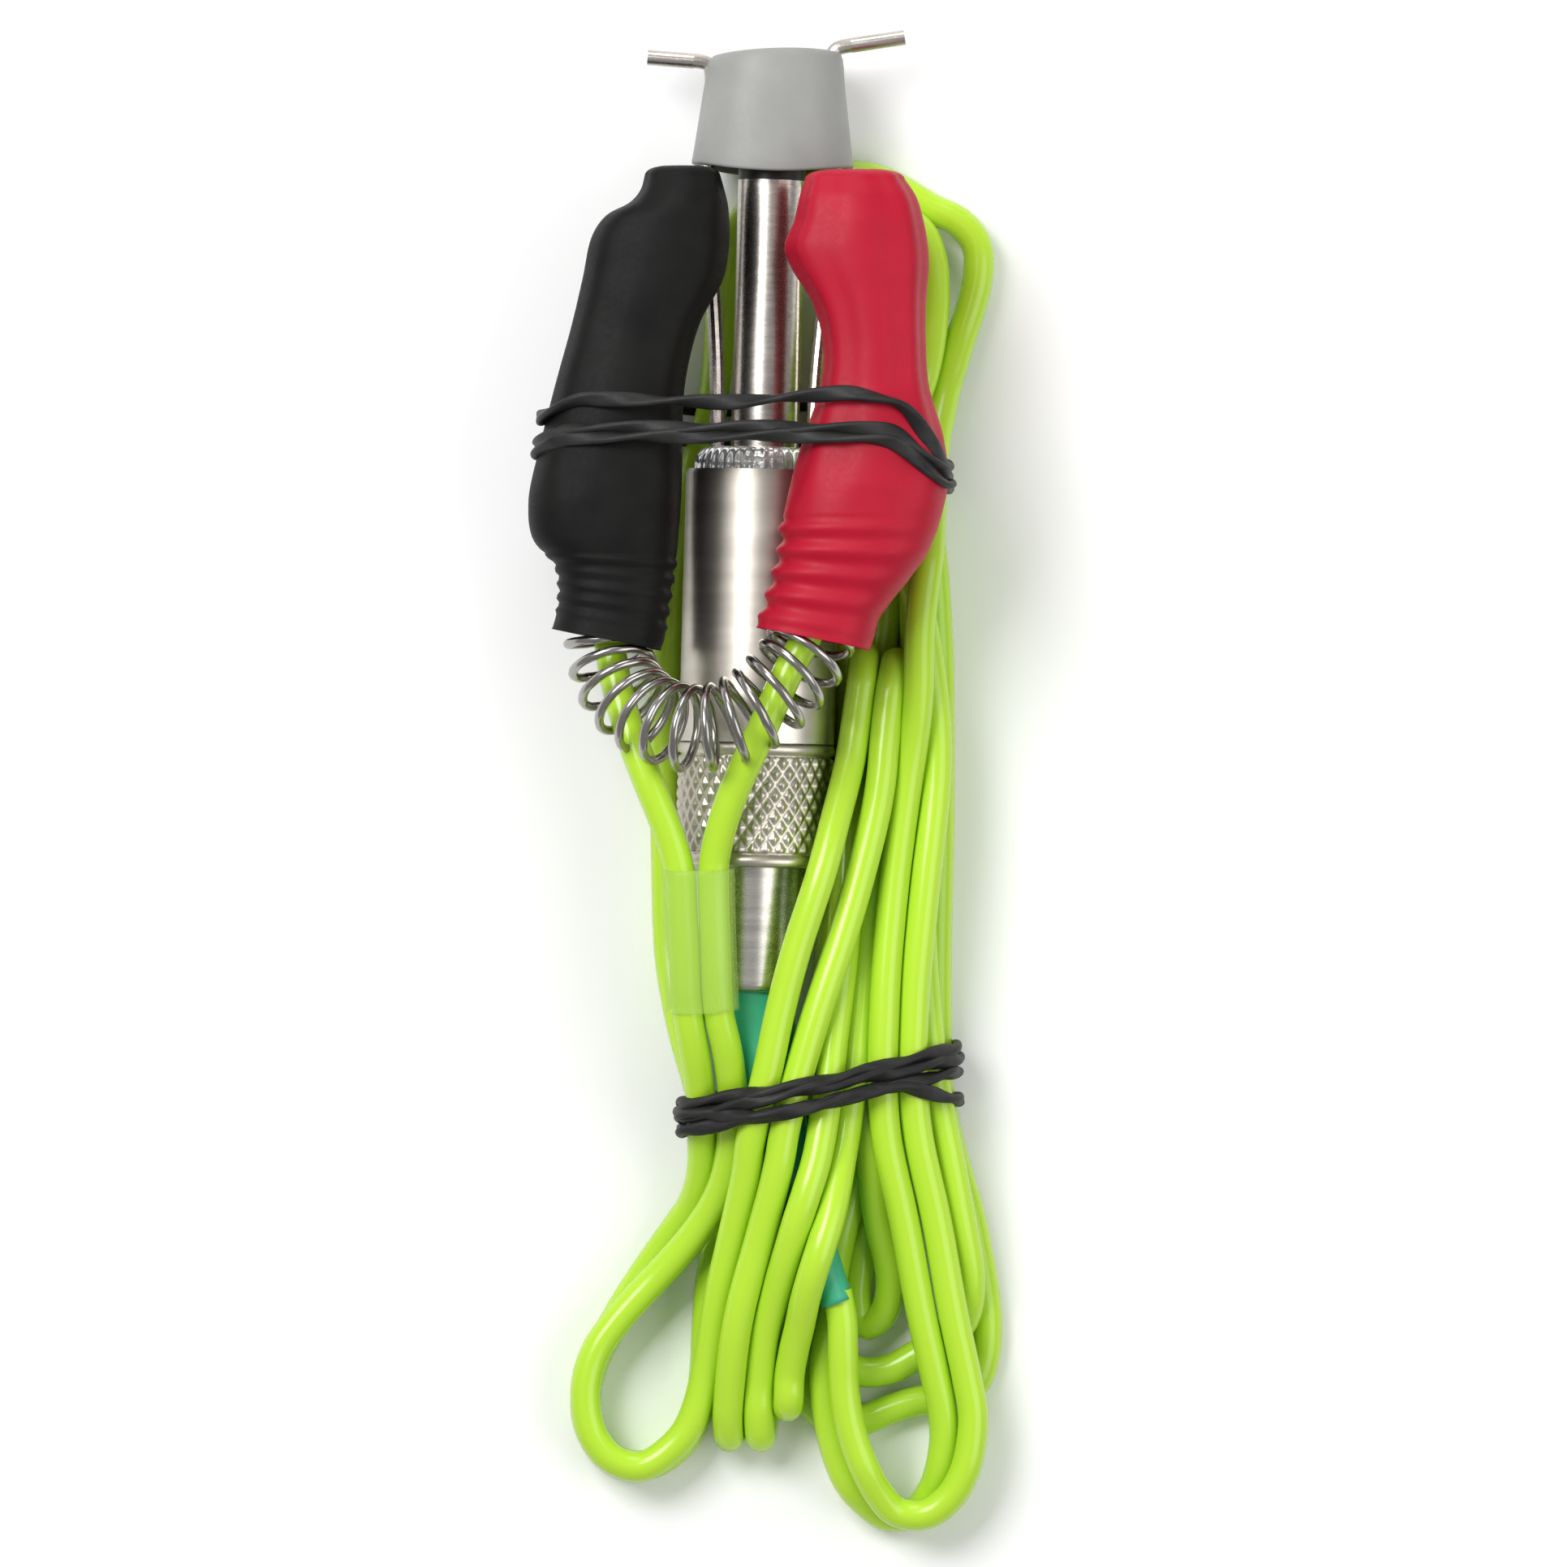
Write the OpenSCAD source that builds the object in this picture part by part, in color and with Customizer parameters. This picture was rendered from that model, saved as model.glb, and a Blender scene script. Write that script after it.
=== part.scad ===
// Circuit test light, bundled for storage: a slim metal probe body, two booted clips joined by a
// bent coil spring, two silicone leads folded into a hank and two rubber bands.
// Millimetres. The bundle lies flat: +Y runs from the leads to the probe tip, +Z is up.

/* [Probe body] */
// Outer radius of the barrel
barrel_r = 10.1; // [9.9:0.1:10.3]
// Outer radius of the nose tube
nose_r = 4.4; // [4.3:0.05:4.5]
// Outer radius of the tail tube
tail_r = 6.8; // [6.6:0.1:6.9]
// Outer radius of the knurled nut
nut_r = 10.2; // [10:0.1:10.3]
// Height of the probe's axis above the surface it lies on
axis_z = 10.5; // [10.4:0.1:10.8]
// Sideways lean of the probe's axis, in degrees
lean = 1.6; // [1:0.1:2]
// Distance that the nut can be unscrewed
nut_travel = 4; // [2:0.5:4]

/* [Hooks and cap] */
// Radius of the bent wire hooks
hook_r = 1; // [0.8:0.05:1.05]
// Length of the straight tip of a hook
hook_tip = 8; // [7:0.5:9]
// Length of the soft cap
cap_length = 14.6; // [13:0.2:15]

/* [Clips] */
// Height of the black clip's pivot
black_z = 18; // [18:0.5:19]
// Height of the red clip's pivot
red_z = 27; // [27:0.5:28]
// Thickness of the sheet metal in the clips
sheet = 0.8; // [0.6:0.1:0.9]
// Wall of the soft boots
boot_wall = 1.1; // [0.8:0.1:1.2]

/* [Leads] */
// Radius of a lead
lead_r = 2; // [1.8:0.1:2]
// Radius of the wire in the bent coil spring
wire_r = 0.52; // [0.4:0.02:0.6]
// Radius from the coil spring's centre line to its wire
coil_r = 5.2; // [5:0.05:5.3]
// Radius of one rubber band strand
band_r = 0.9; // [0.7:0.1:1]

/* [Hidden] */

$fn = 64;
axis_x = 2.2;           // where the probe's axis crosses Y = 0
clear = 0.2;            // gap between pieces that slide past each other

// Stations along the probe's axis
barrel_front = 25.3;
barrel_back = -10;
nut_back = -26.1;
tail_end = -42.3;
nose_front = 62.9;
collar_front = 28.3;
cap_back = 64.9;
hook_spread = 6.2;      // from the probe's axis to a hook's root
cap_front = cap_back + cap_length;
tip_start = 1;           // from a hook's bend to the start of its straight tip

steel = [0.75, 0.76, 0.78];
nickel = [0.68, 0.66, 0.62];
lime = [0.65, 0.88, 0.18];
teal = [0.27, 0.74, 0.5];
crimson = [0.78, 0.1, 0.2];
jet = [0.08, 0.08, 0.09];

// ---- Sweeps and skins ----

function unit(v) = v / norm(v);
function power(c, n) = sign(c) * pow(abs(c), 2 / n);

// One point of a Catmull-Rom stretch between b and c
function between(a, b, c, d, t) =
    0.5 * (2 * b + (c - a) * t + (2 * a - 5 * b + 4 * c - d) * t * t
        + (3 * b - a - 3 * c + d) * t * t * t);

// A smooth open curve through the points, with n steps to each stretch
function smooth(p, n) = let (last = len(p) - 1)
    [for (i = [0:last - 1], j = [0:n - 1])
        between(p[max(i - 1, 0)], p[i], p[i + 1], p[min(i + 2, last)], j / n), p[last]];

// A smooth closed curve through the points
function smooth_loop(p, n) = let (k = len(p))
    [for (i = [0:k - 1], j = [0:n - 1])
        between(p[(i + k - 1) % k], p[i], p[(i + 1) % k], p[(i + 2) % k], j / n)];

function heading(p, i, loop) = let (k = len(p))
    loop ? unit(p[(i + 1) % k] - p[(i + k - 1) % k])
         : unit(p[min(i + 1, k - 1)] - p[max(i - 1, 0)]);

// An elliptical ring round point c, square to direction t; a is its half width across, b along up
function ring(c, t, up, a, b, sides) = let (u = unit(cross(t, up)), v = cross(t, u))
    [for (k = [0:sides - 1]) c + a * cos(360 * k / sides) * u + b * sin(360 * k / sides) * v];

// Joins rings of points into a closed solid; each ring turns by the right-hand rule about the path
module skin(rings, loop = false) {
    n = len(rings[0]);
    m = len(rings);
    spans = loop ? m : m - 1;
    walls = [for (i = [0:spans - 1], k = [0:n - 1])
        [i * n + k, ((i + 1) % m) * n + k, ((i + 1) % m) * n + (k + 1) % n, i * n + (k + 1) % n]];
    ends = loop ? [] : [[for (k = [0:n - 1]) k], [for (k = [n - 1:-1:0]) (m - 1) * n + k]];
    polyhedron([for (r = rings) each r], concat(walls, ends));
}

module tube(path, r, up = [0, 0, 1], sides = 8, loop = false) {
    skin([for (i = [0:len(path) - 1]) ring(path[i], heading(path, i, loop), up, r, r, sides)], loop);
}

// A coil of wire wound round a smooth path
module coil_along(path, radius, wire, turns, sides) {
    steps = len(path) - 1;
    wound = [for (i = [0:steps])
        let (t = heading(path, i, false), u = unit(cross(t, [0, 0, 1])), v = cross(t, u),
            a = 360 * turns * i / steps)
        path[i] + radius * (cos(a) * u + sin(a) * v)];
    skin([for (i = [0:steps]) let (t = heading(wound, i, false), out = unit(wound[i] - path[i]))
        ring(wound[i], t, out, wire, wire, sides)]);
}

// ---- Probe body: local +Z is the probe's axis ----

module on_probe() {
    translate([axis_x, 0, axis_z]) rotate([0, 0, -lean]) rotate([-90, 0, 0]) children();
}

module ring_wall(outer, inner, from, to) {
    translate([0, 0, from]) difference() {
        cylinder(r = outer, h = to - from);
        translate([0, 0, -1]) cylinder(r = inner, h = to - from + 2);
    }
}

module probe_needle() color(steel) on_probe() {
    translate([0, 0, 21.5]) cylinder(r = 3, h = 1.5);
    translate([0, 0, 23]) cylinder(r = 1.5, h = 47);
    translate([0, 0, 70]) cylinder(r1 = 1.5, r2 = 0.2, h = 6);
}

module needle_insulator() color("ivory") on_probe() ring_wall(3.4, 1.5, 26, 36);

module nose_bush() color(jet) on_probe() {
    ring_wall(3.4, 1.5, 55, nose_front);
    ring_wall(nose_r, 1.5, nose_front, 64.6);
    ring_wall(3, 1.5, 64.6, 67);
}

module nose_tube() color(steel) on_probe() {
    ring_wall(nose_r, 3.4, 24.6, nose_front);
    ring_wall(7.9, 3.4, 23.6, 24.6);
}

module lens_collar() color([0.85, 0.9, 0.9, 0.5]) on_probe() difference() {
    rotate_extrude() polygon([[nose_r + 0.1, 24.7], [8, 24.7], [8, 19], [9.1, 19], [9.1, 25.4],
        [9, 26.4], [8.7, 27.2], [8.2, 27.9], [7.4, collar_front], [nose_r + 0.1, collar_front]]);
    for (side = [-1, 1])
        translate([side * hook_spread, 0, 25.4]) cylinder(r = hook_r + 0.05, h = 4);
}

module barrel() color(nickel) on_probe() {
    ring_wall(9.9, 9.2, 24.9, barrel_front);
    ring_wall(barrel_r, 9.2, barrel_back, 24.9);
    ring_wall(8.9, 7.6, -18, barrel_back + 2);
    ring_wall(9.2, 7.6, barrel_back, barrel_back + 2);
}

module bulb_glass() color([0.95, 0.95, 0.9, 0.6]) on_probe() {
    translate([0, 0, 6.2]) cylinder(r = 4.2, h = 8.8);
    translate([0, 0, 15]) sphere(r = 4.2);
}

module bulb_base() color("goldenrod") on_probe() {
    translate([0, 0, -3.8]) cylinder(r = 4.6, h = 10);
    translate([0, 0, -4.8]) cylinder(r = 1.4, h = 1.2);
}

module bulb_socket() color("ivory") on_probe() {
    ring_wall(7.4, 4.6, -3.8, 6);
    ring_wall(7.4, 3, -20, -3.8);
}

module contact_plunger() color("goldenrod") on_probe() {
    translate([0, 0, -7]) cylinder(r = 2.8, h = 2.2);
    translate([0, 0, -11]) cylinder(r = 1.1, h = 4.1);
}

module contact_spring() color(steel) {
    path = [for (i = [0:84]) [axis_x, -17.6 + 10.2 * i / 84, axis_z]];
    translate([axis_x, 0, 0]) rotate([0, 0, -lean]) translate([-axis_x, 0, 0])
        coil_along(path, 2, 0.3, 7, 6);
}

module terminal_disc() color("goldenrod") on_probe()
    translate([0, 0, -19.8]) cylinder(r = 2.9, h = 1.6);

module knurled_nut() color(nickel) on_probe() {
    ring_wall(nut_r, 9.2, -23, barrel_back - 0.1);
    ring_wall(nut_r, tail_r + clear, nut_back, -23);
}

module thrust_washer() color("white") on_probe() ring_wall(9, tail_r + clear, -22.9, -22.2);

module tail_tube() color(steel) on_probe() {
    ring_wall(8.7, 5.9, -22, -20);
    ring_wall(tail_r, 5.9, tail_end + 1, -22);
    translate([0, 0, tail_end + 1]) rotate_extrude() difference() {
        translate([tail_r - 1, 0]) intersection() {
            circle(r = 1);
            translate([0, -2]) square([2, 2]);
        }
        translate([0, -3]) square([5.9, 4]);
    }
}

module cable_clamp() color("dimgray") on_probe() difference() {
    translate([0, 0, -36]) cylinder(r = 5.9, h = 7);
    for (side = [-1, 1]) translate([0, side * 2.1, -37]) cylinder(r = lead_r, h = 9);
}

// The strain relief's centre line: out of the tail tube and down towards the loops
relief = [[1.2, -36.5, 10.5], [1.1, -40.5, 10.5], [1.8, -46, 10.5], [3.4, -54, 10.5], [6, -64, 10.5],
    [9.6, -75, 10.5], [11.9, -81.8, 10.5]];
relief_half_width = [5.5, 5.5, 5.3, 4.7, 3.7, 2.9, 2.6];
relief_half_height = [5.5, 5.5, 5.4, 5, 4.7, 4.6, 4.6];

module relief_skin(grow, over) {
    last = len(relief) - 1;
    skin([for (i = [0:last])
        let (t = heading(relief, i, false), push = i == 0 ? -over : i == last ? over : 0)
        ring(relief[i] + push * t, t, [0, 0, 1], relief_half_width[i] + grow,
            relief_half_height[i] + grow, 24)]);
}

module heat_shrink() color(teal) difference() {
    relief_skin(0, 0);
    relief_skin(-0.45, 1);
}

module lead_stubs() color(lime) for (side = [-1, 1])
    skin([for (i = [0:len(relief) - 1])
        let (t = heading(relief, i, false), pull = i == len(relief) - 1 ? 1 : 0)
        ring(relief[i] - pull * t + [0, 0, side * 2.1], t, [0, 0, 1], lead_r, lead_r, 8)]);

// ---- Hooks and cap ----

function probe_at(across, along, up) =
    [axis_x + across * cos(lean) + along * sin(lean), along * cos(lean) - across * sin(lean),
     axis_z + up];

// A hook's bend, across and along the probe; the right hook stands higher than the left
function bend(side) = side > 0 ? [8.8, 80.6] : [9.6, 78.1];

// How steeply a hook's tip rises outwards, in degrees
function rise(side) = side > 0 ? 10 : 3;

// A hook's leg from its root in the collar to its bend, out to the right, across and along the probe
function leg_route(side) = concat([[hook_spread, 25.5], [hook_spread, 30], [6.6, 40], [7.7, 54],
    [8.5, 66], [8.1, 74]], [for (p = [[-1.4, -1.9], [-1.1, -0.5], [0, 0],
    1.8 * [cos(rise(side)), sin(rise(side))]]) bend(side) + p]);

// A leg's smoothed path; it ends inside the tip
function leg_path(side) = smooth([for (p = leg_route(side)) probe_at(side * p[0], p[1], 0)], 3);

// The tip is a true cylinder that starts past the bend, because it is where a wire is hooked
module hook(side, length) color(steel) {
    tube(leg_path(side), hook_r - 0.04, [0, 0, 1], 12);
    translate(probe_at(side * bend(side)[0], bend(side)[1], 0)) rotate([0, 0, side * rise(side) - lean])
        translate([side * tip_start, 0, 0]) rotate([0, side * 90, 0])
            cylinder(r = hook_r, h = length - tip_start);
}
module hook_left() hook(-1, hook_tip - 1);
module hook_right() hook(1, hook_tip);

// Cap sections: [along, half width, half height]
cap_sections = [[cap_back, 10.4, 9.9], [cap_back + 4, 10, 9.6], [cap_back + 9, 9.4, 9],
    [cap_front - 2, 9.1, 8.6], [cap_front - 0.8, 8.8, 8.2], [cap_front, 8, 7.4]];

module cap_skin(grow, over) {
    last = len(cap_sections) - 1;
    skin([for (i = [0:last])
        let (s = cap_sections[i], y = s[0] + (i == 0 ? -over : i == last ? grow : 0))
        [for (k = [0:23]) probe_at((s[1] + grow) * power(cos(15 * k), 2.4), y,
            -(s[2] + grow) * power(sin(15 * k), 2.4))]]);
}

module tip_cap() color([0.63, 0.63, 0.6]) difference() {
    cap_skin(0, 0);
    cap_skin(-0.9, 1);
    for (side = [-1, 1]) tube(leg_path(side), hook_r + 0.05, [0, 0, 1], 12);
}

// ---- Clips: local +Y is towards the jaw tips, +X is the moving side, Z is the pivot ----

jaw_half = 3.5;         // half width of the outer channel across the pivot
lug_half = jaw_half - sheet - clear;
pin_r = 1.2;

module on_black() translate([-13.4, 41, black_z]) rotate([0, 0, -9.3]) mirror([1, 0, 0]) children();
module on_red() translate([16.7, 41, red_z]) rotate([0, 0, -2.5]) children();

module channel(outline, hollow, half) difference() {
    translate([0, 0, -half]) linear_extrude(2 * half) polygon(outline);
    translate([0, 0, -half + sheet]) linear_extrude(2 * (half - sheet)) polygon(hollow);
}

module fixed_jaw() color(nickel) {
    difference() {
        channel([[-0.3, 20], [-0.3, 3], [2, 2], [2, -2], [-0.5, -3.5], [-1.6, -30], [-4.2, -30],
                [-4.9, -4], [-4.9, 3], [-2.6, 20]],
            [[5, 25], [5, -35], [-3.4, -35], [-4.1, -4], [-4.1, 3], [-1.9, 19.7], [-1.9, 25]], jaw_half);
        translate([0, 0, -5]) cylinder(r = pin_r, h = 10);
        for (i = [0:8]) translate([-0.3, 5 + 1.8 * i, -5]) cylinder(r = 0.5, h = 10);
    }
}

module moving_jaw() color(nickel) difference() {
    channel([[0.3, 20], [2.6, 20], [4.9, 3], [5, -4], [7.4, -14], [8.3, -24], [7.3, -24.6],
            [5.4, -15], [2.6, -4], [-2, -2], [-2, 2], [0.3, 3]],
        [[-5, 25], [1.9, 25], [1.9, 19.7], [4.1, 3], [4.2, -4], [6.6, -14], [7.5, -26], [-5, -26]],
        lug_half);
    translate([0, 0, -5]) cylinder(r = pin_r + 0.05, h = 10);
    for (i = [0:8]) translate([0.3, 5.9 + 1.7 * i, -5]) cylinder(r = 0.5, h = 10);
}

module pivot_pin() color(steel) {
    translate([0, 0, -jaw_half]) cylinder(r = pin_r, h = 2 * jaw_half);
    for (side = [-1, 1]) translate([0, 0, side * (jaw_half + 0.3) - 0.3]) cylinder(r = 1.9, h = 0.6);
}

module jaw_spring() color(steel) {
    path = [for (i = [0:36]) [0, 0, -1.1 + 2.2 * i / 36]];
    wound = [for (i = [0:36]) path[i] + 1.75 * [cos(30 * i - 90), sin(30 * i - 90), 0]];
    legs = concat([[-3, -8, -1.1], [-2.2, -4.5, -1.1]], wound, [[3, -4.5, 1.1], [4.4, -8, 1.1]]);
    tube(legs, 0.3, [0.02, 0.01, 1], 6);
}

module wire_screw() color(steel) {
    translate([-3.3, -26, 0]) rotate([0, 90, 0]) cylinder(r = 1.9, h = 1.2);
    translate([-4.9, -26, 0]) rotate([0, 90, 0]) cylinder(r = 1.2, h = 1.6);
}

module black_fixed_jaw() on_black() difference() { fixed_jaw(); screw_hole(); }
module red_fixed_jaw() on_red() difference() { fixed_jaw(); screw_hole(); }
module screw_hole() translate([-6, -26, 0]) rotate([0, 90, 0]) cylinder(r = 1.2, h = 4);
module black_moving_jaw() on_black() moving_jaw();
module red_moving_jaw() on_red() moving_jaw();
module black_pivot_pin() on_black() pivot_pin();
module red_pivot_pin() on_red() pivot_pin();
module black_jaw_spring() on_black() jaw_spring();
module red_jaw_spring() on_red() jaw_spring();
module black_wire_screw() on_black() wire_screw();
module red_wire_screw() on_red() wire_screw();

// Boot sections from mouth to tip: [y, left, right, middle above the pivot, half height]
black_sections = [[3.4, -24.3, -10.6, 0.6, 6.9], [6, -23.8, -9.6, 0.5, 6.9],
    [12, -24, -8.6, 0.2, 7.2], [16, -27.2, -8, 0, 8], [21, -27.6, -7.7, 0, 8.3],
    [28, -26, -7.7, 0, 8.2], [36, -24, -7.4, 0, 7.6], [44, -21.8, -5.5, 0, 7.2],
    [50, -20.4, -1.9, 0, 7.2], [56, -19, -1, 0, 7], [60, -16.5, -1.6, 0, 6.6],
    [62, -13, -2.2, 0, 6], [64.6, -12, -2.4, 0, 5.6]];
red_sections = [[3.4, 2, 16.6, -0.1, 6.9], [7, 2.8, 17.8, -0.1, 6.9], [11, 4, 20.4, 0, 7.2],
    [15, 4.8, 25, 0, 8], [20, 5.8, 26.3, 0, 8.3], [25, 6.6, 25.6, 0, 8.2],
    [29, 8.9, 24.6, 0, 7.6], [36, 9.8, 23.9, 0, 7], [42, 9.8, 23.7, 0, 7],
    [48, 8.2, 24, 0, 7.2], [53, 6.2, 24, 0, 7.2], [58, 7.6, 23, 0, 7],
    [61, 8.8, 22, 0, 6.4], [64.2, 9.2, 20.6, 0, 5.8]];

module boot_skin(sections, pivot_z, grow, over) {
    last = len(sections) - 1;
    skin([for (i = [0:last])
        let (s = sections[i], y = s[0] + (i == 0 ? -over : i == last ? over : 0),
            a = (s[2] - s[1]) / 2 + grow, b = s[4] + grow)
        [for (k = [0:23]) [(s[1] + s[2]) / 2 + a * power(cos(15 * k), 2.5), y,
            pivot_z + s[3] - b * power(sin(15 * k), 2.5)]]]);
}

module boot(sections, pivot_z) difference() {
    boot_skin(sections, pivot_z, 0, 0);
    boot_skin(sections, pivot_z, -boot_wall, 1);
}
module black_boot() color(jet) boot(black_sections, black_z);
module red_boot() color(crimson) boot(red_sections, red_z);

// ---- Bent coil spring, sleeve and bands ----

bridge_route = [[-17.4, 9.4, 18.6], [-17.3, 4, 18.8], [-16.8, 0.5, 19.6], [-15.4, -3, 21.6],
    [-12.6, -6, 24.2], [-9, -7.8, 26.8], [-5.5, -8.3, 28.4], [-1.8, -7.6, 29.2],
    [2, -5.6, 29.4], [5.4, -2.4, 29], [8, 1, 28], [9.4, 4.4, 27.2], [10.2, 9.6, 26.9]];

module bridge_spring() color(steel) coil_along(smooth(bridge_route, 17), coil_r, wire_r, 17, 6);

sleeve_route = [[-5.6, -26.3, 22.3], [-5.5, -32, 21.7], [-5.3, -38, 20.8], [-5, -44.5, 19.4]];

module sleeve_skin(grow, over) {
    last = len(sleeve_route) - 1;
    skin([for (i = [0:last]) let (t = heading(sleeve_route, i, false),
            push = i == 0 ? -over : i == last ? over : 0)
        ring(sleeve_route[i] + push * t, t, [0, 0, 1], 4.55 + grow, 2.55 + grow, 20)]);
}
module clear_sleeve() color([0.8, 0.95, 0.6, 0.5]) difference() {
    sleeve_skin(0, 0);
    sleeve_skin(-0.4, 1);
}

// Each band is two strands, given as [x, z] round the bundle, with their Y at either side
upper_wrap = [[-27.9, 16], [-25.6, 24.6], [-17, 27.8], [-2, 30.6], [11, 35], [18, 36],
    [25, 34], [28, 27], [28.4, 14], [28, 5], [25, 1.3], [18, 1], [-10, 1], [-18, 1.7], [-24.6, 7]];
lower_wrap = [[-8.6, 10], [-7.8, 16.2], [-4, 19], [3, 19.2], [10, 18.9], [18, 16.8], [25, 14.6],
    [28.4, 10], [28.2, 4.6], [25.6, 1.3], [20, 1], [0, 1], [-5.6, 1.3], [-8.4, 4.4]];

module strand(wrap, y_left, y_right) color(jet) {
    x_left = min([for (p = wrap) p[0]]);
    x_right = max([for (p = wrap) p[0]]);
    tube(smooth_loop([for (p = wrap)
        [p[0], y_left + (y_right - y_left) * (p[0] - x_left) / (x_right - x_left), p[1]]], 3),
        band_r, [0, 1, 0], 8, true);
}
module band_upper() { strand(upper_wrap, 33, 34); strand(upper_wrap, 29, 30); }
module band_lower() { strand(lower_wrap, -58, -50.5); strand(lower_wrap, -61, -56); }

// ---- Leads ----

// Free stretches, from inside each boot through the sleeve to the lower band
black_route = [[-17.4, 11, 18.6], [-17.2, 5, 18.8], [-16.4, -1, 19.8], [-14.6, -8, 21.8],
    [-12, -15, 22.8], [-9.6, -21, 22.6], [-8, -26, 22], [-7.6, -32, 21.6], [-7.3, -38, 20.8],
    [-7, -44.5, 19.4], [-6.2, -49, 17.8]];
red_route = [[10.3, 11, 26.9], [9, 5, 27.1], [6, -1, 27.6], [2.4, -9, 27.4], [-0.4, -15, 25.8],
    [-2.6, -21, 23.8], [-3.6, -26, 22.3], [-3.5, -32, 21.6], [-3.3, -38, 20.8], [-3, -44.5, 19.4],
    [-2, -49, 17.8]];

module lead_black() color(lime) tube(smooth(black_route, 1), lead_r, [0, 0, 1], 10);
module lead_red() color(lime) tube(smooth(red_route, 1), lead_r, [0, 0, 1], 10);

// A hank's stretch: a level slab with rounded corners
module slab(outline, round, from, to) translate([0, 0, from])
    linear_extrude(to - from) offset(r = round, $fn = 24) offset(delta = -round) polygon(outline);

module hank_right() color(lime) slab([[13.6, -46], [27.4, -46], [27, -20], [26, 8], [24.6, 26],
    [32.8, 46], [33, 56], [29, 60.4], [20, 60.4], [13.6, 58]], 2.5, 0, 12);
module hank_left() color(lime) slab([[-12.4, -46], [-8.3, -46], [-8.3, 28], [-1, 34], [-1, 60.4],
    [-8, 60.4], [-12.4, 50]], 2, 0, 4.2);
module hank_loops() color(lime) difference() {
    slab([[-7.4, -46.2], [27.4, -46.2], [27.4, -60], [31, -74], [34.2, -90], [33, -104],
        [28, -112], [20, -113.8], [12, -108], [6, -103.6], [-2, -103.4], [-9, -107.4],
        [-17, -106], [-22.4, -98], [-22, -88], [-14, -74], [-7, -62]], 3, 0, 8.2);
    relief_skin(0.3, 1);
}
module hank_front() color(lime) difference() {
    slab([[-7.2, -49.2], [27.2, -49.2], [28, -62], [14, -100], [4, -103], [-4, -103], [-6, -62]],
        3, 8.4, 16.5);
    relief_skin(0.3, 1);
}

probe_needle();
needle_insulator();
nose_bush();
nose_tube();
lens_collar();
barrel();
bulb_glass();
bulb_base();
bulb_socket();
contact_plunger();
contact_spring();
terminal_disc();
knurled_nut();
thrust_washer();
tail_tube();
cable_clamp();
lead_stubs();
heat_shrink();
tip_cap();
hook_left();
hook_right();
black_fixed_jaw();
black_moving_jaw();
black_pivot_pin();
black_jaw_spring();
black_wire_screw();
black_boot();
red_fixed_jaw();
red_moving_jaw();
red_pivot_pin();
red_jaw_spring();
red_wire_screw();
red_boot();
bridge_spring();
clear_sleeve();
band_upper();
band_lower();
lead_black();
lead_red();
hank_right();
hank_left();
hank_loops();
hank_front();
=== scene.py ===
"""Circuit test light: probe, two booted clips and two long leads, folded and banded for storage."""
import math

import bpy
import numpy as np
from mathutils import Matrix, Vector


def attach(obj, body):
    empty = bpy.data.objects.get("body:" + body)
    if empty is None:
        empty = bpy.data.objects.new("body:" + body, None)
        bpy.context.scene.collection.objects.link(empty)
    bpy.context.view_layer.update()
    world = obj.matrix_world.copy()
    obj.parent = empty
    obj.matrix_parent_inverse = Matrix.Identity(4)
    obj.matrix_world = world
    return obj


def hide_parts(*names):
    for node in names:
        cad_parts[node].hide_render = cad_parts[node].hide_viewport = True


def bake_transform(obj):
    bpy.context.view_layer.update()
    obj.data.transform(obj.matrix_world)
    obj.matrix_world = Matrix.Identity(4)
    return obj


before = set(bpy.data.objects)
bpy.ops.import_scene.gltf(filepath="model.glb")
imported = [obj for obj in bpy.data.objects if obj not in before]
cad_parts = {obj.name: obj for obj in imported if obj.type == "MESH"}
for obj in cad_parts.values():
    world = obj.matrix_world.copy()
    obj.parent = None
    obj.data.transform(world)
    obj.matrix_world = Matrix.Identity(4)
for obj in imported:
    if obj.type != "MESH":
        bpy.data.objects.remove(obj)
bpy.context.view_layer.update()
MM = 0.001

# ---- Sizes, in millimetres ----

LEAD_R = 2.0            # radius of a lead
LEAN = math.radians(1.6)
AXIS_X = 2.2            # where the probe's axis crosses Y = 0
AXIS_Z = 10.5
BLACK_Z = 18             # height of the black clip's middle
RED_Z = 27               # height of the red clip's middle
NUT_R = 10.2
WIRE_R = 0.6            # wire of the bent coil spring
VIEW_WIDTH = 203.4      # what the camera takes in, at the height of the probe
VIEW_DISTANCE = 1600.0

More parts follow.
